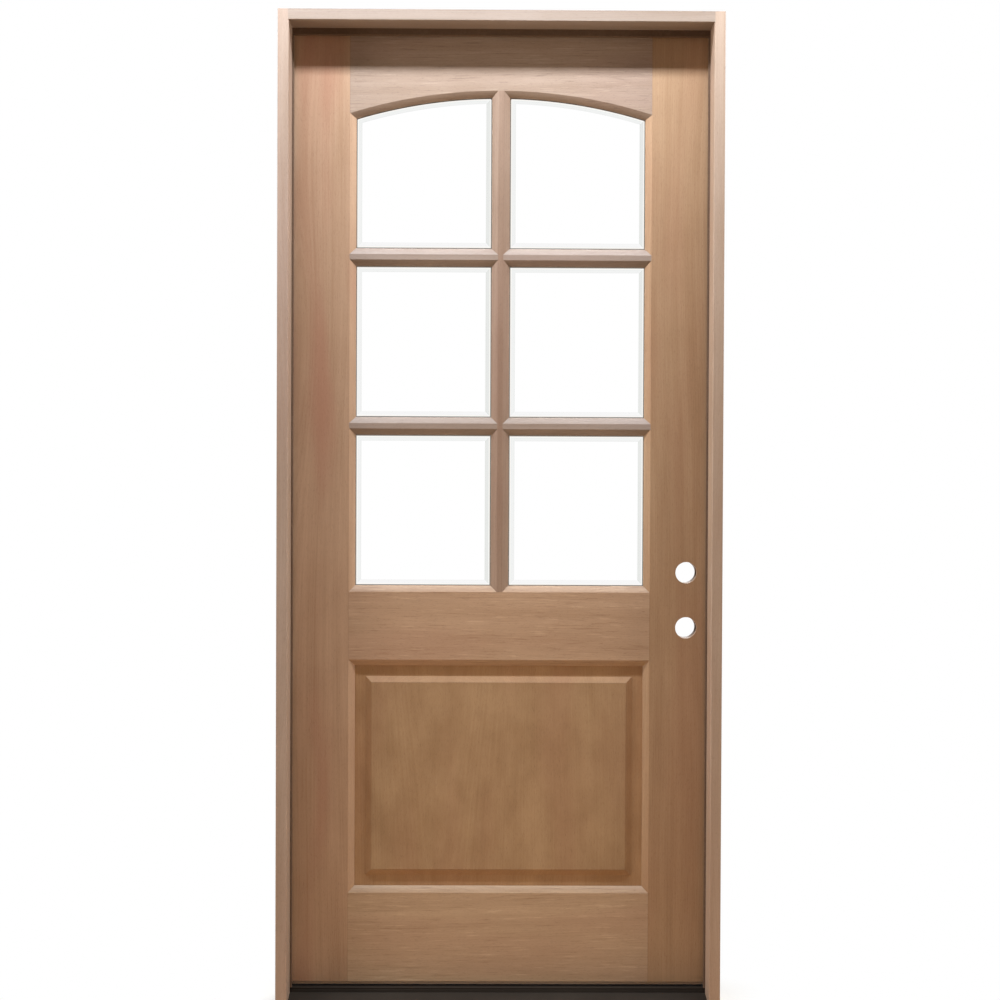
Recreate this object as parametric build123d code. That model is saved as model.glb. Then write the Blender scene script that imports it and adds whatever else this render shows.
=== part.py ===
# Pre-hung exterior door: a leaf with arched divided lites and one raised panel in a rebated frame.
# X runs across the opening with the hinges at -X, Y runs from outside (-Y) to the room (+Y), Z is up.
# The origin is on the underside of the sill, in the middle of its width and depth.
from build123d import *
import math
import os

os.makedirs("parts", exist_ok=True)

# Leaf
leaf_w = 1066.8
leaf_h = 2413.0
leaf_t = 44.45
leaf_bottom = 42.0
stile_face = 152.4
bottom_rail_h = 224.8
panel_h = 592.0
lock_rail_h = 171.8
top_rail_h = 159.0
lock_edge_bevel = 3.0

# Lites and their sticking
bar_face = 13.5
stick_w = 15.9
stick_depth = 13.0
stick_edge = 1.5
stick_swell = 0.8
bead_mitre_gap = 0.2
arch_r = 1270.0
pane_edge_gap = 3.0
pane_rim_t = 6.0
pane_bevel_w = 15.0
pane_bevel_rise = 4.0

# Raised panel
panel_float = 3.0
panel_field_inset = 58.0
panel_slope_w = 15.0
panel_field_depth = 4.0
panel_field_step = 1.2

# Frame
jamb_t = 27.0
jamb_d = 133.35
rebate = 12.7
running_gap = 5.0
seal_t = 7.7
seal_side_show = 5.0
seal_head_show = 18.0
seal_flat = 0.6
arris = 1.5

# Lock preparation
bore_r = 53.975 / 2
edge_bore_r = 25.4 / 2
backset = 60.325
latch_height = 899.9
bolt_rise = 139.7
latch_plate_w = 25.4
latch_plate_h = 57.15
latch_plate_t = 3.0

# Hinges
hinge_h = 101.6
hinge_leaf_w = 38.0
hinge_leaf_t = 2.5
hinge_corner_r = 15.9
knuckle_r = 6.35
knuckle_count = 5
knuckle_gap = 0.6
pin_r = 3.5
pin_gap = 0.08
pin_out = 9.0
pin_head_r = 5.0
pin_head_h = 4.0
hinge_from_top = 178.0
hinge_from_bottom = 279.0
hinge_count = 4

# Sill
sill_nose_z = 5.0
sill_back_z = 16.5
deck_t = 2.5
deck_lip_h = 7.0
cap_top = 29.0
cap_setback = 3.0
cap_arris = 2.0
cap_back_drop = 6.0
sweep_h = 8.0
sweep_base_t = 3.0
sweep_fin_t = 2.0
sweep_inset = 4.0

# How far a cutting solid runs past what it cuts
cut_over = 1.0

# Positions that follow from the sizes
half_leaf = leaf_w / 2
leaf_top = leaf_bottom + leaf_h
jamb_back = jamb_d / 2
jamb_front = -jamb_d / 2
leaf_in = jamb_back
leaf_out = leaf_in - leaf_t
stop_back = leaf_out - rebate
rebate_x = half_leaf + running_gap
outer_x = rebate_x + jamb_t - rebate
stop_x = outer_x - jamb_t
rebate_z = leaf_top + running_gap
unit_top = rebate_z + jamb_t - rebate
stop_z = unit_top - jamb_t
shoulder_x = half_leaf - stile_face
panel_z0 = leaf_bottom + bottom_rail_h
panel_z1 = panel_z0 + panel_h
lite_z0 = panel_z1 + lock_rail_h
crown_z = leaf_top - top_rail_h
row_pitch = (crown_z - lite_z0 + bar_face) / 3
arch_z = crown_z - arch_r
bar_x = bar_face / 2
pin_x = -half_leaf - running_gap / 2
pin_y = leaf_in + pin_out
hinge_z0 = leaf_bottom + hinge_from_bottom + hinge_h / 2
hinge_z1 = leaf_top - hinge_from_top - hinge_h / 2
hinge_pitch = (hinge_z1 - hinge_z0) / (hinge_count - 1)
hinge_zs = [hinge_z0 + i * hinge_pitch for i in range(hinge_count)]
bore_x = half_leaf - backset
bore_zs = [leaf_bottom + latch_height, leaf_bottom + latch_height + bolt_rise]


def box(x0, x1, y0, y1, z0, z1):
    """Box between two corners."""
    size = Box(x1 - x0, y1 - y0, z1 - z0)
    return Pos((x0 + x1) / 2, (y0 + y1) / 2, (z0 + z1) / 2) * size


def rod(radius, x, y, z0, z1):
    """Upright cylinder from z0 to z1."""
    return Pos(x, y, (z0 + z1) / 2) * Cylinder(radius, z1 - z0)


def arch_height(x, inset=0.0):
    """Height of the arch line at x, the line moved inward by inset."""
    radius = arch_r - inset
    return arch_z + math.sqrt(radius * radius - x * x)


def outline(x0, x1, z0, z1, inset, y):
    """Face at depth y bounded by an opening moved inward by inset; z1 None is the arch."""
    a = x0 + inset
    b = x1 - inset
    c = z0 + inset
    if z1 is not None:
        d = z1 - inset
        edge = Polyline((a, y, c), (b, y, c), (b, y, d), (a, y, d), close=True)
        return make_face(edge)
    m = (a + b) / 2
    left = (a, y, arch_height(a, inset))
    right = (b, y, arch_height(b, inset))
    middle = (m, y, arch_height(m, inset))
    sides = Polyline(left, (a, y, c), (b, y, c), right)
    head = ThreePointArc(right, middle, left)
    return make_face(Curve() + [sides, head])


def prism(face_of_y, y0, y1):
    """Solid between two depths of one outline."""
    return extrude(face_of_y(y0), amount=y1 - y0, dir=(0, 1, 0))


def sticking_profile(depth, face_y, inward):
    """Slightly full bevel: local X runs from the shoulder into the opening, local Y is depth."""
    slope_d = stick_depth - stick_edge
    along = math.hypot(stick_w, slope_d)
    start = (0, 0)
    bulge = (stick_w / 2 + stick_swell * slope_d / along, slope_d / 2 - stick_swell * stick_w / along)
    stop = (stick_w, slope_d)
    ring = Curve() + [Polyline(stop, (stick_w, depth), (0, depth), start), ThreePointArc(start, bulge, stop)]
    placed = Plane((0, face_y, 0), x_dir=(1, 0, 0), z_dir=(0, 0, inward))
    return placed * make_face(ring)


def mitre(solid, shoulder, sight, inside, gap):
    """Cut a strip half a gap short of the mitre line, on the side that holds the point inside."""
    dx = sight[0] - shoulder[0]
    dz = sight[1] - shoulder[1]
    towards = (inside[0] - shoulder[0]) * dz - (inside[1] - shoulder[1]) * dx
    sign = 1 if towards > 0 else -1
    plane = Plane((shoulder[0], 0, shoulder[1]), z_dir=(sign * dz, 0, -sign * dx))
    return split(solid, bisect_by=plane.offset(gap / 2), keep=Keep.TOP)


def corners(x0, x1, z0, z1, inset):
    """Corner points of an opening, left bottom first and counterclockwise."""
    a = x0 + inset
    b = x1 - inset
    c = z0 + inset
    if z1 is None:
        return [(a, c), (b, c), (b, arch_height(b, inset)), (a, arch_height(a, inset))]
    return [(a, c), (b, c), (b, z1 - inset), (a, z1 - inset)]


def sticking(opening, side, depth=stick_depth, inner=False, gap=0.0):
    """One mitred side of the sticking round an opening, on the outside or the room face."""
    x0, x1, z0, z1 = opening
    face_y = leaf_in if inner else leaf_out
    inward = -1 if inner else 1
    shoulder = corners(x0, x1, z0, z1, 0)
    sight = corners(x0, x1, z0, z1, stick_w)
    order = {"bottom": (0, 1), "right": (1, 2), "top": (2, 3), "left": (3, 0)}[side]
    section = sticking_profile(depth, face_y, inward)
    if side == "top" and z1 is None:
        upright = Pos(0, 0, crown_z) * Rot(0, 90, 0) * section
        spread = math.degrees(math.asin((shoulder_x + stick_w) / arch_r))
        turn = Axis((0, 0, arch_z), (0, 1, 0))
        strip = revolve(upright.rotate(turn, -spread), turn, 2 * spread)
        m = (x0 + x1) / 2
        inside = (m, arch_height(m))
    else:
        a, b = shoulder[order[0]], shoulder[order[1]]
        length = math.dist(a, b)
        turn = {"left": 0, "top": 90, "right": 180, "bottom": -90}[side]
        run = extrude(section, amount=length + 2 * stick_w, both=True)
        strip = Pos((a[0] + b[0]) / 2, 0, (a[1] + b[1]) / 2) * Rot(0, turn, 0) * run
        inside = ((a[0] + b[0]) / 2, (a[1] + b[1]) / 2)
    for k in order:
        strip = mitre(strip, shoulder[k], sight[k], inside, gap)
    return strip


def fuse(*solids):
    """One solid out of touching ones."""
    whole = solids[0]
    for other in solids[1:]:
        whole = whole + other
    return whole


# Openings of the leaf: two columns of three lites under the arch, and the panel
columns = {"left": (-shoulder_x, -bar_x), "right": (bar_x, shoulder_x)}
rows = {}
for row in (1, 2, 3):
    low = lite_z0 + (3 - row) * row_pitch
    rows[row] = (low, None if row == 1 else low + row_pitch - bar_face)
lites = {(row, col): columns[col] + rows[row] for row in rows for col in columns}
panel = (-shoulder_x, shoulder_x, panel_z0, panel_z1)


def hinge_plate(x0, x1, z):
    """Hinge leaf without knuckles at height z, its two corners away from the pin rounded."""
    blank = box(x0, x1, leaf_in - hinge_leaf_w, leaf_in, z - hinge_h / 2, z + hinge_h / 2)
    return fillet(blank.edges().filter_by(Axis.X).group_by(Axis.Y)[0], hinge_corner_r)


def hinge_pockets(x0, x1):
    """Pockets for the four hinge leaves in an edge."""
    return fuse(*[hinge_plate(x0, x1, z) for z in hinge_zs])


# Frame: side jambs, head jamb
def side_jamb(side):
    """Rebated jamb with eased front corners; side -1 is the hinge side."""
    ring = [
        (outer_x, jamb_front),
        (stop_x + arris, jamb_front),
        (stop_x, jamb_front + arris),
        (stop_x, stop_back),
        (rebate_x, stop_back),
        (rebate_x, jamb_back),
        (outer_x, jamb_back),
    ]
    section = make_face(Polyline(*[(side * x, y, 0) for x, y in ring], close=True))
    return extrude(section, amount=unit_top, dir=(0, 0, 1))


hinge_jamb = side_jamb(-1) - hinge_pockets(-rebate_x - hinge_leaf_t, -rebate_x)
export_step(hinge_jamb, "parts/hinge_jamb.step")
strike_jamb = side_jamb(1)
export_step(strike_jamb, "parts/strike_jamb.step")

head_ring = [
    (jamb_front, unit_top),
    (jamb_front, stop_z + arris),
    (jamb_front + arris, stop_z),
    (stop_back, stop_z),
    (stop_back, rebate_z),
    (jamb_back, rebate_z),
    (jamb_back, unit_top),
]
head_section = make_face(Polyline(*[(0, y, z) for y, z in head_ring], close=True))
head_span = extrude(head_section, amount=rebate_x, dir=(1, 0, 0), both=True)
head_jamb = head_span - side_jamb(-1) - side_jamb(1)
export_step(head_jamb, "parts/head_jamb.step")


# Weatherstrips against the stops: a flat back and a rounded nose towards the opening
def seal(x0, x1, z0, z1):
    """Strip on the back of a stop."""
    return box(x0, x1, stop_back, stop_back + seal_t, z0, z1)


head_seal_z = stop_z - seal_head_show
nose = (seal_t - seal_flat) / 2
head_seal = seal(-rebate_x, rebate_x, head_seal_z, rebate_z)
head_seal = fillet(head_seal.edges().filter_by(Axis.X).group_by(Axis.Z)[0], nose)
export_step(head_seal, "parts/weatherstrip_head.step")
for side, name in ((-1, "hinge"), (1, "strike")):
    near = side * (stop_x - seal_side_show)
    far = side * rebate_x
    strip = seal(min(near, far), max(near, far), cap_top, head_seal_z)
    inner_edges = strip.edges().filter_by(Axis.Z).sort_by(lambda e: abs(e.center().X))[:2]
    export_step(fillet(inner_edges, nose), f"parts/weatherstrip_{name}.step")

# Sill: timber base, sloped metal deck with an upturned back, cap under the leaf
deck_back = stop_back + cap_setback
slope = (sill_back_z - sill_nose_z) / (deck_back - jamb_front)


def span(ring, half):
    """Section drawn in depth and height, run across the opening."""
    section = make_face(Polyline(*[(0, y, z) for y, z in ring], close=True))
    return extrude(section, amount=half, dir=(1, 0, 0), both=True)


deck_ring = [
    (jamb_front, 0),
    (jamb_front, sill_nose_z),
    (deck_back, sill_back_z),
    (deck_back, sill_back_z + deck_lip_h),
    (deck_back + deck_t, sill_back_z + deck_lip_h),
    (deck_back + deck_t, sill_back_z - deck_t),
    (jamb_front + deck_t, sill_nose_z - deck_t + slope * deck_t),
    (jamb_front + deck_t, 0),
]
stops = side_jamb(-1) + side_jamb(1)
sill_deck = span(deck_ring, rebate_x) - stops
export_step(sill_deck, "parts/sill_deck.step")

base_ring = [
    (jamb_front + deck_t, 0),
    (jamb_front + deck_t, sill_nose_z - deck_t + slope * deck_t),
    (deck_back + deck_t, sill_back_z - deck_t),
    (deck_back + deck_t, sill_back_z),
    (jamb_back, sill_back_z),
    (jamb_back, 0),
]
sill_base = span(base_ring, rebate_x) - stops
export_step(sill_base, "parts/sill_base.step")

cap_ring = [
    (deck_back + deck_t, sill_back_z),
    (deck_back + deck_t, cap_top - cap_arris),
    (deck_back + deck_t + cap_arris, cap_top),
    (jamb_back - cap_arris - cap_back_drop, cap_top),
    (jamb_back - cap_arris, cap_top - cap_back_drop),
    (jamb_back - cap_arris, sill_back_z),
]
sill_cap = span(cap_ring, rebate_x) - stops
export_step(sill_cap, "parts/sill_cap.step")

# Leaf: stiles with their sticking
hinge_stile = box(-half_leaf, -shoulder_x, leaf_out, leaf_in, leaf_bottom, leaf_top)
hinge_stile = hinge_stile - hinge_pockets(-half_leaf, -half_leaf + hinge_leaf_t)
for row in rows:
    hinge_stile = hinge_stile + sticking(lites[row, "left"], "left")
for inner in (False, True):
    hinge_stile = hinge_stile + sticking(panel, "left", inner=inner)
export_step(hinge_stile, "parts/hinge_stile.step")

edge_cut = leaf_t * math.tan(math.radians(lock_edge_bevel))
lock_ring = [
    (shoulder_x, leaf_out),
    (half_leaf - edge_cut, leaf_out),
    (half_leaf, leaf_in),
    (shoulder_x, leaf_in),
]
lock_section = make_face(Polyline(*[(x, y, leaf_bottom) for x, y in lock_ring], close=True))
lock_stile = extrude(lock_section, amount=leaf_h, dir=(0, 0, 1))
for row in rows:
    lock_stile = lock_stile + sticking(lites[row, "right"], "right")
for inner in (False, True):
    lock_stile = lock_stile + sticking(panel, "right", inner=inner)
leaf_mid = (leaf_in + leaf_out) / 2
for z in bore_zs:
    face_bore = Pos(bore_x, leaf_mid, z) * Rot(90, 0, 0) * Cylinder(bore_r, 2 * leaf_t)
    edge_run = backset + cut_over
    edge_bore = Pos(bore_x + edge_run / 2, leaf_mid, z) * Rot(0, 90, 0) * Cylinder(edge_bore_r, edge_run)
    plate_x = half_leaf - edge_cut / 2 - latch_plate_t
    half_plate = latch_plate_w / 2
    plate = box(plate_x, half_leaf + cut_over, leaf_mid - half_plate, leaf_mid + half_plate,
                z - latch_plate_h / 2, z + latch_plate_h / 2)
    lock_stile = lock_stile - face_bore - edge_bore - plate
export_step(lock_stile, "parts/lock_stile.step")

# Leaf: rails
top_rail = box(-shoulder_x, shoulder_x, leaf_out, leaf_in, arch_height(shoulder_x), leaf_top)
arch_drum = Pos(0, leaf_mid, arch_z) * Rot(90, 0, 0) * Cylinder(arch_r, 2 * leaf_t)
top_rail = top_rail - arch_drum
for col in columns:
    top_rail = top_rail + sticking(lites[1, col], "top")
export_step(top_rail, "parts/arched_top_rail.step")

lock_rail = box(-shoulder_x, shoulder_x, leaf_out, leaf_in, panel_z1, lite_z0)
for col in columns:
    lock_rail = lock_rail + sticking(lites[3, col], "bottom")
for inner in (False, True):
    lock_rail = lock_rail + sticking(panel, "top", inner=inner)
export_step(lock_rail, "parts/lock_rail.step")

bottom_rail = box(-shoulder_x, shoulder_x, leaf_out, leaf_in, leaf_bottom, panel_z0)
for inner in (False, True):
    bottom_rail = bottom_rail + sticking(panel, "bottom", inner=inner)
export_step(bottom_rail, "parts/bottom_rail.step")

# Leaf: glazing bars, the upright one running through
upright = box(-bar_x, bar_x, leaf_out, leaf_in, lite_z0, crown_z + cut_over) & arch_drum
for row in rows:
    upright = upright + sticking(lites[row, "left"], "right") + sticking(lites[row, "right"], "left")
export_step(upright, "parts/upright_bar.step")
for row, name in ((2, "upper"), (3, "lower")):
    for col in columns:
        x0, x1, z0, z1 = lites[row, col]
        bar = box(x0, x1, leaf_out, leaf_in, z1, z1 + bar_face)
        bar = bar + sticking(lites[row, col], "top") + sticking(lites[row - 1, col], "bottom")
        export_step(bar, f"parts/cross_bar_{name}_{col}.step")

# Leaf: bevelled panes behind the sticking, and the mitred beads that hold them from the room side
rim_y = leaf_out + stick_depth
bead_depth = leaf_t - stick_depth - pane_rim_t
for (row, col), lite in lites.items():
    rim = prism(lambda y: outline(*lite, pane_edge_gap, y), rim_y, rim_y + pane_rim_t)
    foot = outline(*lite, stick_w, rim_y)
    field = outline(*lite, stick_w + pane_bevel_w, rim_y - pane_bevel_rise)
    export_step(rim + loft([foot, field], ruled=True), f"parts/pane_{row}_{col}.step")
    sides = []
    for side in ("bottom", "right", "top", "left"):
        sides.append(sticking(lite, side, depth=bead_depth, inner=True, gap=bead_mitre_gap))
    export_step(Compound(children=sides), f"parts/glazing_bead_{row}_{col}.step")

# Leaf: raised panel, a tongue in the groove between the sticking and a field on each face
tongue_y0 = leaf_out + stick_depth
tongue_y1 = leaf_in - stick_depth
raised = prism(lambda y: outline(*panel, panel_float, y), tongue_y0, tongue_y1)
slope_inset = panel_field_inset - panel_slope_w
for face_y, root_y, sign in ((leaf_out, tongue_y0, 1), (leaf_in, tongue_y1, -1)):
    shelf_y = face_y + sign * (panel_field_depth + panel_field_step)
    foot = outline(*panel, slope_inset, root_y)
    shelf = outline(*panel, panel_field_inset, shelf_y)
    ramp = loft([foot, shelf], ruled=True)
    top_y = face_y + sign * panel_field_depth
    field = prism(lambda y: outline(*panel, panel_field_inset + panel_field_step, y), shelf_y, top_y)
    raised = raised + ramp + field
export_step(raised, "parts/raised_panel.step")

# Leaf: sweep under the bottom rail, a flat strip with three hanging fins
sweep_y0 = leaf_out + sweep_inset
sweep_y1 = leaf_in - sweep_inset
sweep_x = half_leaf - sweep_inset
sweep = box(-sweep_x, sweep_x, sweep_y0, sweep_y1, leaf_bottom - sweep_base_t, leaf_bottom)
for y in (sweep_y0, (sweep_y0 + sweep_y1 - sweep_fin_t) / 2, sweep_y1 - sweep_fin_t):
    fin = box(-sweep_x, sweep_x, y, y + sweep_fin_t, leaf_bottom - sweep_h, leaf_bottom - sweep_base_t)
    sweep = sweep + fin
export_step(sweep, "parts/door_sweep.step")

# Hinges: the leaf has the second and fourth knuckle, the frame the others and the pin with its head on top
knuckle_h = hinge_h / knuckle_count


def hinge_leaf(z, plate_x0, first):
    """Plate in its pocket with every second knuckle, starting at the given one."""
    low = z - hinge_h / 2
    plate = hinge_plate(plate_x0, plate_x0 + hinge_leaf_t, z)
    for k in range(first, knuckle_count, 2):
        z0 = low + k * knuckle_h + knuckle_gap / 2
        z1 = low + (k + 1) * knuckle_h - knuckle_gap / 2
        plate = plate + box(plate_x0, plate_x0 + hinge_leaf_t, leaf_in - hinge_leaf_t, pin_y, z0, z1)
        plate = plate + rod(knuckle_r, pin_x, pin_y, z0, z1)
    return plate


for i, z in enumerate(hinge_zs):
    low = z - hinge_h / 2
    high = z + hinge_h / 2
    seat = high - knuckle_gap / 2
    pin = rod(pin_r, pin_x, pin_y, low + knuckle_gap, seat)
    pin = pin + rod(pin_head_r, pin_x, pin_y, seat, seat + pin_head_h)
    jamb_hinge = hinge_leaf(z, -rebate_x - hinge_leaf_t, 0) + pin
    export_step(jamb_hinge, f"parts/jamb_hinge_{i + 1}.step")
    bore = rod(pin_r + pin_gap, pin_x, pin_y, low, high)
    export_step(hinge_leaf(z, -half_leaf, 1) - bore, f"parts/door_hinge_{i + 1}.step")
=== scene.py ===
# %% [markdown]
# # A front door in its frame
# The object is a pre-hung exterior door: a hardwood leaf with six bevelled lites under a flat arch,
# one raised panel below, two lock bores, and its own rebated frame on a dark metal sill.
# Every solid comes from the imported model, in metres, and stays where it is. This script gives each
# solid its finish, adds the small hardware that the solids leave out, and sets up the light and camera.

# %% Load the solids
import math
import bpy
import numpy as np
from mathutils import Matrix, Vector


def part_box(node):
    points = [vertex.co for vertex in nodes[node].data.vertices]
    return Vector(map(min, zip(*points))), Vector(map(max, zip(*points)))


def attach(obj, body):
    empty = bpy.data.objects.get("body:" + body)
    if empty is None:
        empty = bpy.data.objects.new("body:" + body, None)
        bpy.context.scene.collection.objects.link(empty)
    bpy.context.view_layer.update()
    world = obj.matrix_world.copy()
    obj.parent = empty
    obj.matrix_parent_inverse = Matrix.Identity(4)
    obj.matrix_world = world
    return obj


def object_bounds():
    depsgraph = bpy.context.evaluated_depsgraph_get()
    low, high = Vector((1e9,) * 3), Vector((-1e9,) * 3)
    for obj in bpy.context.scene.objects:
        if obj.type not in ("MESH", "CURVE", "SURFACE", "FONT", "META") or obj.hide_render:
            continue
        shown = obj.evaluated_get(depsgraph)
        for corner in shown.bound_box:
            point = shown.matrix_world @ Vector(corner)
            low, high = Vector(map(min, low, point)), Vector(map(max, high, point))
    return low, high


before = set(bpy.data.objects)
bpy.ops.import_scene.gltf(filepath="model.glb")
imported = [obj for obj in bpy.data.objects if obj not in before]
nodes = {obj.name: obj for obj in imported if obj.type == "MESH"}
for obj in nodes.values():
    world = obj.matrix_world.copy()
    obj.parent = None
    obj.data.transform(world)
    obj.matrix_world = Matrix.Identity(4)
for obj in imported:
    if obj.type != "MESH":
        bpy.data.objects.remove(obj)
cad_low, cad_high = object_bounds()
scene = bpy.context.scene
print("solids:", len(nodes), "box:", [round(v, 4) for v in (*cad_low, *cad_high)])

# %% [markdown]
# ## Camera
# The photograph is taken a little above half height, about four metres out, and almost square on.
# A camera could be aimed at a target object, but its small roll would then need a second control, so
# the three view directions are worked out from yaw, pitch and roll and put into one matrix.

# %% Place the camera
camera_place = Vector((-0.0363, -4.1653, 1.3165))
camera_yaw = math.radians(0.509)
camera_pitch = math.radians(-0.72)
camera_roll = math.radians(0.245)
camera_lens = 59.61


def view_directions(yaw, pitch, roll):
    """Right, up and forward of a camera that starts along +Y, turned by yaw, pitch and roll."""
    forward = Vector((math.sin(yaw) * math.cos(pitch), math.cos(yaw) * math.cos(pitch), math.sin(pitch)))
    level = Vector((math.cos(yaw), -math.sin(yaw), 0.0))
    upright = level.cross(forward)
    right = math.cos(roll) * level + math.sin(roll) * upright
    up = math.cos(roll) * upright - math.sin(roll) * level
    return right, up, forward


right, up, forward = view_directions(camera_yaw, camera_pitch, camera_roll)
camera_data = bpy.data.cameras.new("camera")
camera_data.lens = camera_lens
camera = bpy.data.objects.new("camera", camera_data)
scene.collection.objects.link(camera)
camera.matrix_world = Matrix.Translation(camera_place) @ Matrix((right, up, -forward)).transposed().to_4x4()
scene.camera = camera
print("camera at", tuple(round(v, 3) for v in camera_place), "lens", camera_lens)

# %% [markdown]
# ## Shader tools
# Materials are node trees. A few helpers keep each tree short: one adds a node with its inputs set,
# one does arithmetic, one mixes colours, and one makes a group with named sockets. A value that is a
# socket is linked, and any other value is written on the input.

# %% Node helpers
def put(tree, socket, value):
    """Link a socket to an input, or write a plain value on it."""
    if isinstance(value, bpy.types.NodeSocket):
        tree.links.new(value, socket)
    else:
        socket.default_value = value


def add(tree, kind, **values):
    """Add a node and fill its inputs by name; an underscore stands for a space."""
    node = tree.nodes.new(kind)
    for name, value in values.items():
        put(tree, node.inputs[name.replace("_", " ")], value)
    return node


def maths(tree, operation, *values):
    """Result of one arithmetic step."""
    node = tree.nodes.new("ShaderNodeMath")
    node.operation = operation
    for socket, value in zip(node.inputs, values):
        put(tree, socket, value)
    return node.outputs[0]


def vectors(tree, operation, *values):
    """Result of one vector step; a dot product and a length come out as a value."""
    node = tree.nodes.new("ShaderNodeVectorMath")
    node.operation = operation
    for socket, value in zip(node.inputs, values):
        put(tree, socket, value)
    return node.outputs["Value" if operation in ("DOT_PRODUCT", "LENGTH") else "Vector"]


def ramp(tree, value, low, high, start=0.0, stop=1.0):
    """Smooth step of a value from low to high, as start to stop."""
    node = add(tree, "ShaderNodeMapRange", Value=value)
    node.interpolation_type = "SMOOTHSTEP"
    for name, number in (("From Min", low), ("From Max", high), ("To Min", start), ("To Max", stop)):
        put(tree, node.inputs[name], number)
    return node.outputs["Result"]


def mix_colour(tree, share, first, second, blend="MIX"):
    """First colour going over to the second by a share."""
    node = tree.nodes.new("ShaderNodeMix")
    node.data_type = "RGBA"
    node.blend_type = blend
    put(tree, node.inputs[0], share)
    put(tree, node.inputs[6], first)
    put(tree, node.inputs[7], second)
    return node.outputs[2]


def new_group(name, inputs, outputs):
    """Shader group with named sockets: its tree, the sockets that come in and those that go out."""
    tree = bpy.data.node_groups.new(name, "ShaderNodeTree")
    for label, kind, value in inputs:
        socket = tree.interface.new_socket(label, in_out="INPUT", socket_type="NodeSocket" + kind)
        socket.default_value = value
    for label, kind in outputs:
        tree.interface.new_socket(label, in_out="OUTPUT", socket_type="NodeSocket" + kind)
    entry = tree.nodes.new("NodeGroupInput")
    leave = tree.nodes.new("NodeGroupOutput")
    return tree, entry.outputs, leave.inputs


def use_group(tree, group, **values):
    """Place a group in a material with its inputs filled."""
    node = tree.nodes.new("ShaderNodeGroup")
    node.node_tree = group
    for name, value in values.items():
        put(tree, node.inputs[name.replace("_", " ")], value)
    return node.outputs


def new_material(name):
    """Empty node material: its tree and the Principled shader on its output."""
    material = bpy.data.materials.new(name)
    material.use_nodes = True
    tree = material.node_tree
    tree.nodes.clear()
    principled = tree.nodes.new("ShaderNodeBsdfPrincipled")
    output = tree.nodes.new("ShaderNodeOutputMaterial")
    tree.links.new(principled.outputs["BSDF"], output.inputs["Surface"])
    return material, tree, principled


def opaque(rgb):
    """Colour with full alpha."""
    return (*rgb, 1.0)


print("shader helpers ready")

# %% [markdown]
# ## Timber
# The door is bare mahogany: straight grain with soft growth bands, fine streaks, short dark pores and
# pale flecks, and a red cast in patches. A picture of wood could be laid on each face, but it would
# not turn a corner. Here the grain is worked out in space, as in a real log: bands are rings round a
# pith line, and all other marks are noise stretched along the grain. So the ends of a board show end
# grain by themselves, and a moulding shows the grain that its board has. Each kind of mark has a cell
# count per metre, across the grain and along it.

# %% Marks of the grain
sway_scale = (2.6, 2.6, 0.7)
sway_reach = (0.08, 0.08, 0.0)
rings_per_metre = 95.0
streak_cells = (48.0, 1.6)
line_cells = (520.0, 6.0)
mottle_cells = (15.0, 9.0)
cloud_cells = (7.0, 2.2)
patch_cells = (11.0, 1.7)
dash_cells = (260.0, 14.0)
pore_cells = (1500.0, 95.0)
ring_range = (0.3, 0.7)
patch_range = (0.45, 0.72)
dark_dash_range = (0.58, 0.76)
pale_dash_range = (0.40, 0.24)
pore_range = (0.60, 0.70)
line_strength = 0.2
cloud_strength = 0.8
pore_colour = (0.35, 0.27, 0.22)
grain_roughness = (0.44, 0.60)
pore_sink = -0.8
line_rise = 0.4


def stretched(tree, vector, cells, detail=1.0):
    """Noise with so many cells per metre across the grain and along it."""
    across, along = cells
    scaled = vectors(tree, "MULTIPLY", vector, (across, across, along))
    return add(tree, "ShaderNodeTexNoise", Vector=scaled, Scale=1.0, Detail=detail).outputs["Fac"]


def stronger(tree, tone, mark, strength):
    """Tone moved by a mark, which lies about one half, times its strength."""
    return maths(tree, "MULTIPLY_ADD", maths(tree, "SUBTRACT", mark, 0.5), strength, tone)


print("grain marks: streaks", streak_cells, "fine lines", line_cells, "cells per metre")

# %% Grain group
grain_inputs = [
    ("Vector", "Vector", (0.0, 0.0, 0.0)),
    ("Pale", "Color", opaque((0.5, 0.3, 0.2))),
    ("Deep", "Color", opaque((0.3, 0.16, 0.1))),
    ("Red", "Color", opaque((0.36, 0.15, 0.09))),
    ("Bands", "Float", 0.5),
    ("Streaks", "Float", 0.5),
    ("Flecks", "Float", 0.3),
    ("Pores", "Float", 0.3),
    ("Redness", "Float", 0.3),
    ("Mottle", "Float", 0.3),
]
grain_outputs = [("Color", "Color"), ("Roughness", "Float"), ("Height", "Float")]
grain, g_in, g_out = new_group("timber grain", grain_inputs, grain_outputs)
sway_noise = add(grain, "ShaderNodeTexNoise", Scale=1.0, Detail=1.0,
                 Vector=vectors(grain, "MULTIPLY", g_in["Vector"], sway_scale))
sway = vectors(grain, "SUBTRACT", sway_noise.outputs["Color"], (0.5, 0.5, 0.5))
swayed = vectors(grain, "MULTIPLY_ADD", sway, sway_reach, g_in["Vector"])
radius = vectors(grain, "LENGTH", vectors(grain, "MULTIPLY", swayed, (1.0, 1.0, 0.0)))
ring_noise = grain.nodes.new("ShaderNodeTexNoise")
ring_noise.noise_dimensions = "1D"
put(grain, ring_noise.inputs["W"], maths(grain, "MULTIPLY", radius, rings_per_metre))
put(grain, ring_noise.inputs["Detail"], 2.0)
rings = ramp(grain, ring_noise.outputs["Fac"], *ring_range)
streak = stretched(grain, swayed, streak_cells, 2.5)
fine_line = stretched(grain, swayed, line_cells)
mottle = stretched(grain, g_in["Vector"], mottle_cells, 3.0)
cloud = stretched(grain, g_in["Vector"], cloud_cells)
tone = stronger(grain, 0.5, rings, g_in["Bands"])
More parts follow.
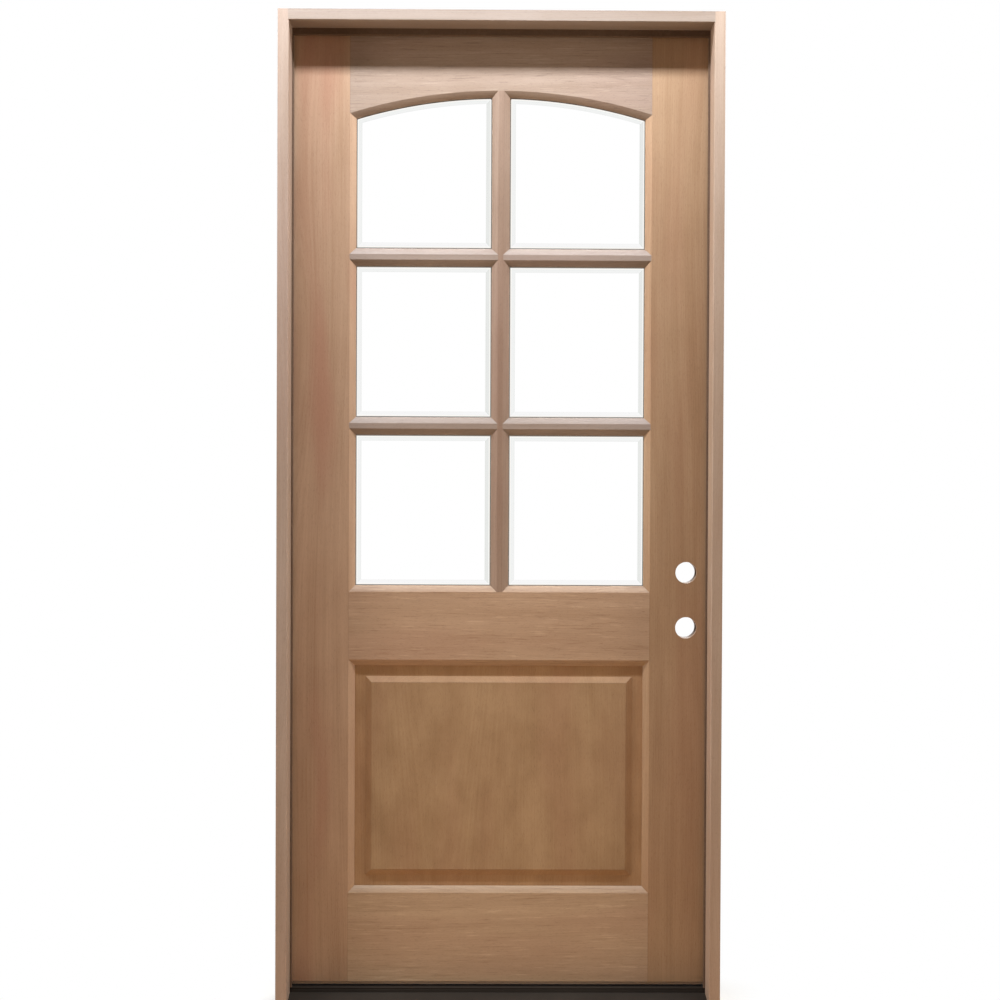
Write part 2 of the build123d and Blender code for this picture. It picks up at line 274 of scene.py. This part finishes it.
tone = stronger(grain, tone, streak, g_in["Streaks"])
tone = stronger(grain, tone, fine_line, maths(grain, "MULTIPLY", g_in["Streaks"], line_strength))
tone = stronger(grain, tone, mottle, g_in["Mottle"])
tone = stronger(grain, tone, cloud, cloud_strength)
body = mix_colour(grain, tone, g_in["Deep"], g_in["Pale"])
patch = ramp(grain, stretched(grain, g_in["Vector"], patch_cells), *patch_range)
body = mix_colour(grain, maths(grain, "MULTIPLY", patch, g_in["Redness"]), body, g_in["Red"])
dash = stretched(grain, swayed, dash_cells)
dark_dash = maths(grain, "MULTIPLY", ramp(grain, dash, *dark_dash_range), g_in["Flecks"])
pale_dash = maths(grain, "MULTIPLY", ramp(grain, dash, *pale_dash_range), g_in["Flecks"])
body = mix_colour(grain, dark_dash, body, g_in["Deep"], "MULTIPLY")
body = mix_colour(grain, pale_dash, body, g_in["Pale"], "SCREEN")
pore = ramp(grain, stretched(grain, swayed, pore_cells), *pore_range)
pore_dark = maths(grain, "MULTIPLY", pore, g_in["Pores"])
body = mix_colour(grain, pore_dark, body, opaque(pore_colour), "MULTIPLY")
put(grain, g_out["Color"], body)
smooth_grain, rough_grain = grain_roughness
put(grain, g_out["Roughness"],
    maths(grain, "MULTIPLY_ADD", streak, rough_grain - smooth_grain, smooth_grain))
relief = maths(grain, "MULTIPLY_ADD", pore, pore_sink, maths(grain, "MULTIPLY", fine_line, line_rise))
put(grain, g_out["Height"], relief)
print("timber grain group:", len(grain.nodes), "nodes")

# %% [markdown]
# ### One timber for each member
# Stiles, jambs, the panel and the upright bar have upright grain; rails, cross bars and the head have
# level grain. Each member is another board, so it gets its own place in the log and its own tint. The
# tint is partly the board's own tone and partly painted shade and glare: the head, the top rail, the
# bars and the jambs are made darker and cooler than the stiles, as the light falls on them.
# Board ends drink more light, so a face that the grain runs into is darker. A rail also has the fine
# dark line where its shoulder meets the stile, and the sunk margin round the panel's raised field is
# given a warmer colour than the field.

# %% Timber material
upright_turn = (0.0, 0.0, 0.0)
level_turn = (0.0, -math.pi / 2, 0.0)
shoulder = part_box("lock_rail")[1].x
joint_half = 0.0011
joint_share = 0.5
joint_colour = (0.30, 0.22, 0.17)
end_range = (0.75, 0.95)
end_dullness = 0.55
end_colour = (0.42, 0.36, 0.32)
field_inset = 0.055
margin_blur = 0.006
margin_warm_cast = (1.08, 1.0, 0.94)
relief_strength = 0.25
relief_depth = 0.0006
timber_ior = 1.4


def log_coordinates(tree, turn, place):
    """Object coordinates turned so that local Z runs along the grain, moved to a place in the log."""
    where = tree.nodes.new("ShaderNodeTexCoord")
    node = add(tree, "ShaderNodeMapping", Vector=where.outputs["Object"], Rotation=turn, Location=place)
    return node.outputs["Vector"]


def end_share(tree, turn):
    """One on a face that the grain runs into, nought along the board."""
    normal = tree.nodes.new("ShaderNodeTexCoord").outputs["Normal"]
    axis = (0.0, 0.0, 1.0) if turn is upright_turn else (1.0, 0.0, 0.0)
    return ramp(tree, maths(tree, "ABSOLUTE", vectors(tree, "DOT_PRODUCT", normal, axis)), *end_range)


def shoulder_line(tree):
    """One in a narrow line at the rail's two shoulders."""
    where = tree.nodes.new("ShaderNodeTexCoord").outputs["Object"]
    across = add(tree, "ShaderNodeSeparateXYZ", Vector=where).outputs["X"]
    off = maths(tree, "SUBTRACT", maths(tree, "ABSOLUTE", across), shoulder)
    return ramp(tree, maths(tree, "ABSOLUTE", off), joint_half, 0.0)


def past_edges(tree, low, high, inset=0.0):
    """How far a point is past the half width and the half height of a box that is drawn in by an inset."""
    where = tree.nodes.new("ShaderNodeTexCoord").outputs["Object"]
    middle = [(a + b) / 2 for a, b in zip(low, high)]
    off = vectors(tree, "ABSOLUTE", vectors(tree, "SUBTRACT", where, middle))
    reach = add(tree, "ShaderNodeSeparateXYZ", Vector=off).outputs
    past_side = maths(tree, "SUBTRACT", reach["X"], (high.x - low.x) / 2 - inset)
    past_end = maths(tree, "SUBTRACT", reach["Z"], (high.z - low.z) / 2 - inset)
    return past_side, past_end


def milled_margin(tree, low, high):
    """One on the sunk margin round the panel's raised field, nought on the field."""
    past_side, past_end = past_edges(tree, low, high, field_inset)
    return ramp(tree, maths(tree, "MAXIMUM", past_side, past_end), -margin_blur, margin_blur)


def finish_timber(tree, principled, colour, marks):
    """Feed the grain's colour, roughness and relief to the shader."""
    put(tree, principled.inputs["Base Color"], colour)
    put(tree, principled.inputs["Roughness"], marks["Roughness"])
    bump = add(tree, "ShaderNodeBump", Strength=relief_strength, Distance=relief_depth,
               Height=marks["Height"])
    put(tree, principled.inputs["Normal"], bump.outputs["Normal"])
    principled.inputs["IOR"].default_value = timber_ior


def timber(name, turn, place, tones, joint=False, **strengths):
    """Board material: grain direction, place in the log, its three tones and how strong each mark is."""
    material, tree, principled = new_material(name)
    pale, deep, red = (opaque(rgb) for rgb in tones)
    marks = use_group(tree, grain, Vector=log_coordinates(tree, turn, place),
                      Pale=pale, Deep=deep, Red=red, **strengths)
    dull = maths(tree, "MULTIPLY", end_share(tree, turn), end_dullness)
    colour = mix_colour(tree, dull, marks["Color"], opaque(end_colour), "MULTIPLY")
    if joint:
        line = maths(tree, "MULTIPLY", shoulder_line(tree), joint_share)
        colour = mix_colour(tree, line, colour, opaque(joint_colour), "MULTIPLY")
    if name == "raised_panel":
        # the sunk margin is given a warmer colour than the field
        margin = milled_margin(tree, *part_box(name))
        colour = mix_colour(tree, margin, colour, opaque(margin_warm_cast), "MULTIPLY")
    finish_timber(tree, principled, colour, marks)
    return material


print("shoulders at", round(shoulder, 4), "m")

# %% Boards
stile_tones = ((0.47, 0.275, 0.165), (0.33, 0.175, 0.095), (0.36, 0.165, 0.095))
# Rail tones are paler than stile tones: painted sheen of the overhead light on level grain, over the wood's
# own tone.
rail_tones_and_sheen = ((0.56, 0.36, 0.245), (0.43, 0.26, 0.165), (0.47, 0.26, 0.18))
panel_tones = ((0.46, 0.28, 0.155), (0.36, 0.205, 0.105), (0.38, 0.19, 0.11))
frame_tones = ((0.50, 0.32, 0.22), (0.38, 0.225, 0.14), (0.44, 0.245, 0.165))
quiet = {"Bands": 0.22, "Streaks": 1.15, "Flecks": 0.06, "Pores": 0.3, "Redness": 0.3, "Mottle": 0.5}
lively = {"Bands": 0.2, "Streaks": 1.4, "Flecks": 0.26, "Pores": 0.35, "Redness": 0.3, "Mottle": 0.6}
reddish = {**quiet, "Redness": 0.9}
blotchy = {**quiet, "Streaks": 0.7, "Mottle": 2.6}

# Fourth entry: partly each board's own tone and partly painted shade and glare, darker and cooler on the
# head, top rail, bars and jambs.
boards = {
    "hinge_stile": (upright_turn, (0.52, 0.06, 0.4), stile_tones, (0.97, 1.02, 1.08), reddish),
    "lock_stile": (upright_turn, (-0.16, 0.09, 1.7), stile_tones, (0.87, 0.90, 0.86), quiet),
    "arched_top_rail": (level_turn, (2.5, 0.12, 3.1), rail_tones_and_sheen, (0.62, 0.67, 0.74), lively),
    "lock_rail": (level_turn, (1.1, 0.1, 5.2), rail_tones_and_sheen, (0.81, 0.79, 0.74), lively),
    "bottom_rail": (level_turn, (0.36, 0.11, 7.7), rail_tones_and_sheen, (0.83, 0.85, 0.80), lively),
    "upright_bar": (upright_turn, (0.3, 0.2, 9.1), stile_tones, (0.65, 0.72, 0.86), quiet),
    "raised_panel": (upright_turn, (0.15, 0.24, 11.3), panel_tones, (0.81, 0.80, 0.77), blotchy),
    "hinge_jamb": (upright_turn, (0.7, 0.3, 13.4), frame_tones, (0.73, 0.81, 0.93), quiet),
    "strike_jamb": (upright_turn, (-0.4, 0.3, 15.2), frame_tones, (0.76, 0.83, 0.91), quiet),
    "head_jamb": (level_turn, (2.6, 0.3, 17.8), frame_tones, (0.60, 0.70, 0.83), quiet),
}
for number, name in enumerate(n for n in sorted(nodes) if n.startswith("cross_bar")):
    bar_place = (1.7 + 0.31 * number, 0.15, 19.0 + 1.9 * number)
    boards[name] = (level_turn, bar_place, rail_tones_and_sheen, (0.58, 0.66, 0.79), quiet)


def tinted(tones, tone_and_shade_tint):
    """Three tones of a board, each multiplied by a factor that is partly its own tone and partly painted
    shade and glare.
    """
    return [[a * b for a, b in zip(tone, tone_and_shade_tint)] for tone in tones]


def dress(name, material):
    """Give a solid its material."""
    nodes[name].data.materials.clear()
    nodes[name].data.materials.append(material)


for name, (turn, place, tones, tone_and_shade_tint, strengths) in boards.items():
    dress(name, timber(name, turn, place, tinted(tones, tone_and_shade_tint), joint=name.endswith("rail"), **strengths))
print("boards dressed:", len(boards))

# %% [markdown]
# ### Glazing beads
# Behind each pane four mitred sticks hold the glass from the room side, and one solid carries all
# four. The grain must turn at the mitres, so the material asks on which side of the mitre line a point
# lies: it compares how far the point is past the opening's half width and past its half height.

# %% Bead timber
def bead_timber(name, low, high, place):
    """Board material whose grain is upright on the two side sticks and level on the other two."""
    material, tree, principled = new_material(name)
    past_side, past_end = past_edges(tree, low, high)
    side = maths(tree, "GREATER_THAN", past_side, past_end)
    both = tree.nodes.new("ShaderNodeMix")
    both.data_type = "VECTOR"
    put(tree, both.inputs[0], side)
    put(tree, both.inputs[4], log_coordinates(tree, level_turn, place))
    put(tree, both.inputs[5], log_coordinates(tree, upright_turn, place))
    pale, deep, red = (opaque(rgb) for rgb in stile_tones)
    marks = use_group(tree, grain, Vector=both.outputs[1], Pale=pale, Deep=deep, Red=red, **quiet)
    finish_timber(tree, principled, marks["Color"], marks)
    return material


beads = [n for n in sorted(nodes) if n.startswith("glazing_bead")]
for number, name in enumerate(beads):
    dress(name, bead_timber(name, *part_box(name), (0.4 + 0.23 * number, 0.3, 30.0 + number)))
print("bead sets dressed:", len(beads))

# %% [markdown]
# ## Glass
# The panes are clear with a ground bevel round the edge. The bevel's colour is painted reflection and
# shade: a touch greyer than the flat field, darker on the side that faces +X and paler where it faces
# down. The tilt of the face tells the bevel from the field, and the depth tells how far up the bevel a
# point lies: a dark line at its foot, then a cream strip of painted reflection of the timber edge.
# Light may pass to what lies behind, so for shadow rays the glass is transparent.

# %% Glass material
bevel_rise = 0.004
bevel_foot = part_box("pane_2_left")[0].y + bevel_rise
tilt_range = (0.995, 0.975)
shaded_side_range = (0.05, 0.22)
lit_under_range = (-0.05, -0.22)
reflection_reach = (0.45, 0.22)
foot_line_reach = (0.19, 0.12)
bevel_painted_grey = (0.77, 0.785, 0.77)
bevel_painted_shade = (0.64, 0.66, 0.63)
bevel_painted_light = (0.86, 0.86, 0.855)
edge_painted_reflection = (0.92, 0.88, 0.80)
foot_line_dark = (0.03, 0.026, 0.02)
clear_glass = (1.0, 1.0, 1.0)
glass_ior = 1.5


def face_normal(tree):
    """Normal of the face itself in the object's own directions."""
    normal = tree.nodes.new("ShaderNodeNewGeometry").outputs["True Normal"]
    turned = add(tree, "ShaderNodeVectorTransform", Vector=normal)
    turned.vector_type = "NORMAL"
    turned.convert_from = "WORLD"
    turned.convert_to = "OBJECT"
    return add(tree, "ShaderNodeSeparateXYZ", Vector=turned.outputs["Vector"]).outputs


def pane_glass():
    """Clear glass with painted reflection and shade on the bevel, a painted cream reflection near its foot
    and a dark line at the foot.
    """
    material, tree, principled = new_material("pane_glass")
    facing = face_normal(tree)
    bevel = ramp(tree, maths(tree, "ABSOLUTE", facing["Y"]), *tilt_range)
    where = tree.nodes.new("ShaderNodeTexCoord").outputs["Object"]
    depth = add(tree, "ShaderNodeSeparateXYZ", Vector=where).outputs["Y"]
    climb = maths(tree, "DIVIDE", maths(tree, "SUBTRACT", bevel_foot, depth), bevel_rise)
    painted_shade_side = ramp(tree, facing["X"], *shaded_side_range)
    painted_light_under = ramp(tree, facing["Z"], *lit_under_range)
    # painted reflection and shade on the bevel: grey, darker where it faces +X, paler where it faces down
    grey = mix_colour(tree, painted_shade_side, opaque(bevel_painted_grey), opaque(bevel_painted_shade))
    grey = mix_colour(tree, painted_light_under, grey, opaque(bevel_painted_light))
    # painted reflection: a cream strip of the timber edge seen in the glass, low on the bevel
    cream = mix_colour(tree, ramp(tree, climb, *reflection_reach), grey, opaque(edge_painted_reflection))
    # a dark line along the foot of the bevel
    foot_line = mix_colour(tree, ramp(tree, climb, *foot_line_reach), cream, opaque(foot_line_dark))
    colour = mix_colour(tree, bevel, opaque(clear_glass), foot_line)
    put(tree, principled.inputs["Base Color"], colour)
    principled.inputs["Roughness"].default_value = 0.0
    principled.inputs["IOR"].default_value = glass_ior
    principled.inputs["Transmission Weight"].default_value = 1.0
    clear = tree.nodes.new("ShaderNodeBsdfTransparent")
    path = tree.nodes.new("ShaderNodeLightPath")
    either = add(tree, "ShaderNodeMixShader", Fac=path.outputs["Is Shadow Ray"])
    put(tree, either.inputs[1], principled.outputs["BSDF"])
    put(tree, either.inputs[2], clear.outputs["BSDF"])
    output = next(n for n in tree.nodes if n.type == "OUTPUT_MATERIAL")
    put(tree, output.inputs["Surface"], either.outputs["Shader"])
    return material


glass = pane_glass()
panes = [n for n in sorted(nodes) if n.startswith("pane_")]
for name in panes:
    dress(name, glass)
print("panes glazed:", len(panes))

# %% [markdown]
# ## Seals, sill and hinge metal
# The weatherstrip is a dark brown foam with a slightly wrinkled skin, the sweep is plain vinyl, the
# sill deck is bronze anodised metal drawn along its length, its cap a dark composite, and the hinges
# are satin steel brushed along the pin. Drawn and brushed marks are again noise stretched one way.

# %% Scuffed surface group
broad_scale = 9.0
fine_part = 0.6
broad_part = 0.4
scuff_range = (0.4, 0.75)
scuff_inputs = [
    ("Vector", "Vector", (0.0, 0.0, 0.0)),
    ("Color", "Color", opaque((0.1, 0.1, 0.1))),
    ("Worn", "Color", opaque((0.2, 0.2, 0.2))),
    ("Scale", "Vector", (300.0, 300.0, 300.0)),
    ("Amount", "Float", 0.5),
    ("Smooth", "Float", 0.4),
    ("Rough", "Float", 0.6),
]
scuff, s_in, s_out = new_group("scuffed surface", scuff_inputs, grain_outputs)
fine = add(scuff, "ShaderNodeTexNoise", Scale=1.0, Detail=3.0,
           Vector=vectors(scuff, "MULTIPLY", s_in["Vector"], s_in["Scale"])).outputs["Fac"]
broad = add(scuff, "ShaderNodeTexNoise", Scale=broad_scale, Detail=2.0,
            Vector=s_in["Vector"]).outputs["Fac"]
both_marks = maths(scuff, "MULTIPLY_ADD", fine, fine_part, maths(scuff, "MULTIPLY", broad, broad_part))
share = maths(scuff, "MULTIPLY", ramp(scuff, both_marks, *scuff_range), s_in["Amount"])
put(scuff, s_out["Color"], mix_colour(scuff, share, s_in["Color"], s_in["Worn"]))
spread = maths(scuff, "SUBTRACT", s_in["Rough"], s_in["Smooth"])
put(scuff, s_out["Roughness"], maths(scuff, "MULTIPLY_ADD", both_marks, spread, s_in["Smooth"]))
put(scuff, s_out["Height"], fine)
print("scuffed surface group:", len(scuff.nodes), "nodes")


# %% Plain materials
rib_height = 3.0
scuff_bump = 0.4


def scuffed(name, colour, worn, scale, amount, smooth, rough,
            metallic=0.0, relief=0.0002, ribs=None, ior=1.3):
    """Material with fine marks at a scale of its own, and ribs along X where a pitch is given."""
    material, tree, principled = new_material(name)
    where = tree.nodes.new("ShaderNodeTexCoord").outputs["Object"]
    marks = use_group(tree, scuff, Vector=where, Color=opaque(colour), Worn=opaque(worn), Scale=scale,
                      Amount=amount, Smooth=smooth, Rough=rough)
    put(tree, principled.inputs["Base Color"], marks["Color"])
    put(tree, principled.inputs["Roughness"], marks["Roughness"])
    principled.inputs["Metallic"].default_value = metallic
    principled.inputs["IOR"].default_value = ior
    height = marks["Height"]
    if ribs:
        depth = add(tree, "ShaderNodeSeparateXYZ", Vector=where).outputs["Y"]
        wave = maths(tree, "SINE", maths(tree, "MULTIPLY", depth, 2 * math.pi / ribs))
        height = maths(tree, "MULTIPLY_ADD", wave, rib_height, height)
    bump = add(tree, "ShaderNodeBump", Strength=scuff_bump, Distance=relief, Height=height)
    put(tree, principled.inputs["Normal"], bump.outputs["Normal"])
    return material


seal_skin = scuffed("seal_foam", (0.115, 0.070, 0.047), (0.165, 0.105, 0.074), (160.0, 160.0, 160.0),
                    amount=0.6, smooth=0.65, rough=0.9, relief=0.0006, ior=1.15)
sweep_skin = scuffed("sweep_vinyl", (0.42, 0.32, 0.27), (0.53, 0.42, 0.36), (40.0, 400.0, 400.0),
                     amount=0.5, smooth=0.5, rough=0.7, ior=1.2)
deck_metal = scuffed("sill_metal", (0.020, 0.014, 0.010), (0.036, 0.026, 0.019), (6.0, 900.0, 900.0),
                     amount=0.7, smooth=0.5, rough=0.7, ribs=0.0052)
cap_plastic = scuffed("sill_cap", (0.020, 0.013, 0.009), (0.034, 0.023, 0.016), (60.0, 300.0, 300.0),
                      amount=0.5, smooth=0.55, rough=0.75, ior=1.2)
base_tones = ((0.36, 0.25, 0.16), (0.22, 0.14, 0.085), (0.26, 0.15, 0.09))
base_wood = timber("sill_base", level_turn, (0.8, 0.2, 41.0), base_tones, **quiet)
hinge_steel = scuffed("hinge_steel", (0.40, 0.385, 0.36), (0.50, 0.48, 0.455), (900.0, 900.0, 14.0),
                      amount=0.8, smooth=0.26, rough=0.42, metallic=1.0, relief=0.00008)
hinges = [n for n in sorted(nodes) if n.startswith(("jamb_hinge", "door_hinge"))]
for name in hinges:
    dress(name, hinge_steel)
for name in ("weatherstrip_hinge", "weatherstrip_strike", "weatherstrip_head"):
    dress(name, seal_skin)
dress("door_sweep", sweep_skin)
dress("sill_deck", deck_metal)
dress("sill_cap", cap_plastic)
dress("sill_base", base_wood)
print("hinge leaves:", len(hinges))

# %% [markdown]
# ## Hinge screws
# Each hinge leaf is held by four countersunk screws that show when the door stands open. A cylinder
# with a cut cross could stand for a head, but its edges would be hard. Here a screw head is a height
# over a disc: a shallow dome with a cross cut into it, then a rim and a cone that goes into the plate.
# All heads of one body are one mesh, because they never move apart.

# %% Screw heads
head_radius = 0.0042
head_dome = 0.0004
cross_depth = 0.0013
cross_half = 0.00055
cross_reach = 0.0027
rim_drop = 0.0003
cone_depth = 0.0024
cone_share = 0.45
inner_share = 0.08
dome_rings = 14
turns = 48
screw_rows = ((0.12, 0.012), (0.37, 0.026), (0.63, 0.026), (0.88, 0.012))


def soft_step(value, low, high):
    """Smooth step of an array from low to high."""
    t = np.clip((value - low) / (high - low), 0.0, 1.0)
    return t * t * (3.0 - 2.0 * t)


def screw_grid():
    """One head about the origin, facing +X, as a grid of rings and turns.
    P(r, t) = (h, r cos t, r sin t), with h = dome (1 - (r/R)^2) - depth cross(r cos t, r sin t);
    the last rings go down the rim and the cone."""
    dome = np.linspace(inner_share, 1.0, dome_rings) * head_radius
    r = np.concatenate([dome, [head_radius, cone_share * head_radius]])
    t = np.linspace(0.0, 2 * math.pi, turns, endpoint=False)
    ring, turn = np.meshgrid(r, t, indexing="ij")
    y = ring * np.cos(turn)
    z = ring * np.sin(turn)
    thin = 1.0 - soft_step(np.minimum(abs(y), abs(z)), cross_half, 1.5 * cross_half)
    near = 1.0 - soft_step(np.maximum(abs(y), abs(z)), 0.75 * cross_reach, cross_reach)
    h = head_dome * (1.0 - (ring / head_radius) ** 2) - cross_depth * thin * near
    h[-2] = -rim_drop
    h[-1] = -cone_depth
    top = [[head_dome - cross_depth, 0.0, 0.0]]
    point = [[-cone_depth, 0.0, 0.0]]
    return np.concatenate([top, np.stack([h, y, z], -1).reshape(-1, 3), point]), len(r)


def grid_faces(rings):
    """Faces of a closed grid: a fan on the first point, quads between rings, a fan on the last point."""
    k = np.arange(turns)
    after = (k + 1) % turns
    first = np.stack([np.zeros(turns, int), 1 + k, 1 + after], -1)
    i = np.arange(rings - 1)[:, None] * turns
    quads = np.stack([1 + i + k, 1 + i + turns + k, 1 + i + turns + after, 1 + i + after], -1).reshape(-1, 4)
    base = 1 + (rings - 1) * turns
    last = np.stack([base + after, base + k, np.full(turns, base + turns)], -1)
    return first, quads, last


def screw_mesh(name, centres, facing):
    """One mesh of many heads; facing is +1 or -1 along X, turned about Z so that faces stay outwards."""
    points, rings = screw_grid()
    placed = points * (facing, facing, 1.0) + np.asarray(centres)[:, None, :]
    faces = []
    for part in grid_faces(rings):
        steps = np.arange(len(centres))[:, None, None] * len(points)
        faces += (part[None] + steps).reshape(-1, part.shape[1]).tolist()
    mesh = bpy.data.meshes.new(name)
    mesh.from_pydata(placed.reshape(-1, 3).tolist(), [], faces)
    mesh.shade_smooth()
    piece = bpy.data.objects.new(name, mesh)
    scene.collection.objects.link(piece)
    return piece


def screw_places(plane_x):
    """Four staggered places on each hinge leaf, on the plane of its open face.
    A row of the pattern gives the share of the leaf's height and the distance from its edge."""
    places = []
    for name in (n for n in hinges if n.startswith("door_hinge")):
        low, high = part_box(name)
        height = high.z - low.z
        for step, inset in screw_rows:
            places.append((plane_x, low.y + inset, low.z + step * height))
    return places


screw_steel = scuffed("screw_steel", (0.38, 0.365, 0.34), (0.48, 0.46, 0.44), (700.0, 700.0, 700.0),
                      amount=0.7, smooth=0.25, rough=0.4, metallic=1.0, relief=0.00005)
jamb_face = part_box("head_jamb")[0].x
leaf_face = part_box("hinge_stile")[0].x
for name, plane_x, facing, body in (("jamb_hinge_screws", jamb_face, 1.0, "frame"),
                                    ("door_hinge_screws", leaf_face, -1.0, "door_leaf")):
    piece = screw_mesh(name, screw_places(plane_x), facing)
    piece.data.materials.append(screw_steel)
    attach(piece, body)
    print(name, len(piece.data.polygons), "faces")

# %% [markdown]
# ## Floor, light and background
# The photograph has a plain white ground. The world and the far floor are white to the camera, to
# reflections and through glass; close to the sill the floor is an ordinary pale surface that keeps
# the door's shadow. A long cool lamp hangs above and in front, as in a showroom, so the head throws its
# shadow on the leaf. Two warm lamps at the sides fill the rest, the floor sends warm light up to the
# lower half, and a lamp behind lights the room side. A picture of a studio could light the door as
# well, but lamps keep each of these effects apart. The lamps are hidden from the camera and from rays
# through glass, so no pane shows one.

# %% World
def seen_directly(tree):
    """One for camera rays, reflections and rays through glass, nought once a surface has scattered them."""
    path = tree.nodes.new("ShaderNodeLightPath").outputs
    seen = maths(tree, "MAXIMUM", path["Is Camera Ray"], path["Is Glossy Ray"])
    seen = maths(tree, "MAXIMUM", seen, path["Is Transmission Ray"])
    return maths(tree, "MULTIPLY", seen, maths(tree, "LESS_THAN", path["Diffuse Depth"], 0.5))


ambient_colour = (1.0, 0.965, 0.92)
ambient_strength = 0.02
world = bpy.data.worlds.new("studio")
scene.world = world
world.use_nodes = True
sky = world.node_tree
sky.nodes.clear()
soft = add(sky, "ShaderNodeBackground", Color=opaque(ambient_colour), Strength=ambient_strength)
white = add(sky, "ShaderNodeBackground", Color=opaque((1.0, 1.0, 1.0)), Strength=1.0)
sky_mix = add(sky, "ShaderNodeMixShader", Fac=seen_directly(sky))
put(sky, sky_mix.inputs[1], soft.outputs["Background"])
put(sky, sky_mix.inputs[2], white.outputs["Background"])
sky_out = sky.nodes.new("ShaderNodeOutputWorld")
put(sky, sky_out.inputs["Surface"], sky_mix.outputs["Shader"])
print("world fill", ambient_strength)

# %% Floor
floor_half = 40.0
floor_drop = 0.0005
shadow_far = 0.16
shadow_pale = 0.45
floor_seen = (0.86, 0.85, 0.84)
floor_thrown = (0.66, 0.44, 0.24)
floor_mesh = bpy.data.meshes.new("floor")
floor_corners = np.array([(-1, -1), (1, -1), (1, 1), (-1, 1)]) * floor_half
floor_points = np.column_stack([floor_corners, np.full(4, -floor_drop)])
floor_mesh.from_pydata(floor_points.tolist(), [], [(0, 1, 2, 3)])
floor = bpy.data.objects.new("floor", floor_mesh)
scene.collection.objects.link(floor)
floor_paint = bpy.data.materials.new("floor")
floor_paint.use_nodes = True
ground = floor_paint.node_tree
ground.nodes.clear()
footprint = ((cad_high.x - cad_low.x) / 2, (cad_high.y - cad_low.y) / 2, 0.0)
ground_at = vectors(ground, "ABSOLUTE", ground.nodes.new("ShaderNodeTexCoord").outputs["Object"])
beyond = vectors(ground, "MAXIMUM", vectors(ground, "SUBTRACT", ground_at, footprint), (0.0, 0.0, 0.0))
away = ramp(ground, vectors(ground, "LENGTH", beyond), 0.0, shadow_far, shadow_pale, 1.0)
thrown = ground.nodes.new("ShaderNodeLightPath").outputs["Is Diffuse Ray"]
floor_colour = mix_colour(ground, thrown, opaque(floor_seen), opaque(floor_thrown))
pale_floor = add(ground, "ShaderNodeBsdfDiffuse", Color=floor_colour)
white_floor = add(ground, "ShaderNodeEmission", Color=opaque((1.0, 1.0, 1.0)), Strength=1.0)
ground_mix = add(ground, "ShaderNodeMixShader", Fac=maths(ground, "MULTIPLY", away, seen_directly(ground)))
put(ground, ground_mix.inputs[1], pale_floor.outputs["BSDF"])
put(ground, ground_mix.inputs[2], white_floor.outputs["Emission"])
ground_out = ground.nodes.new("ShaderNodeOutputMaterial")
put(ground, ground_out.inputs["Surface"], ground_mix.outputs["Shader"])
floor_mesh.materials.append(floor_paint)
print("floor", 2 * floor_half, "m wide")


# %% Lamps
def area_lamp(name, place, target, size, power, colour):
    """Rectangular lamp that faces a target."""
    data = bpy.data.lights.new(name, "AREA")
    data.shape = "RECTANGLE"
    data.size, data.size_y = size
    data.energy = power
    data.color = colour
    lamp = bpy.data.objects.new(name, data)
    scene.collection.objects.link(lamp)
    lamp.visible_camera = False
    lamp.visible_transmission = False
    aim = (Vector(target) - Vector(place)).to_track_quat("-Z", "Y")
    lamp.matrix_world = Matrix.Translation(place) @ aim.to_matrix().to_4x4()


top = cad_high.z
lamp_size = (4.0, 0.14)
side_size = (1.6, 2.6)
room_size = (2.4, 2.0)
middle_height = (0.0, 0.0, 1.3)
area_lamp("long_lamp", (-0.40, -0.73, top + 0.755), (-0.40, 0.0, top - 0.9), lamp_size,
          power=119.0, colour=(0.80, 0.91, 1.0))
area_lamp("left_lamp", (-3.4, -0.7, 1.8), middle_height, side_size, power=115.0, colour=(1.0, 0.955, 0.85))
area_lamp("right_lamp", (3.4, -0.7, 1.8), middle_height, side_size, power=96.0, colour=(1.0, 0.945, 0.81))
area_lamp("room_lamp", (1.3, 3.0, 3.0), (0.0, 0.0, 1.2), room_size, power=115.0, colour=(1.0, 0.97, 0.94))
scene.view_settings.view_transform = "Standard"
print("lamps:", len(bpy.data.lights))
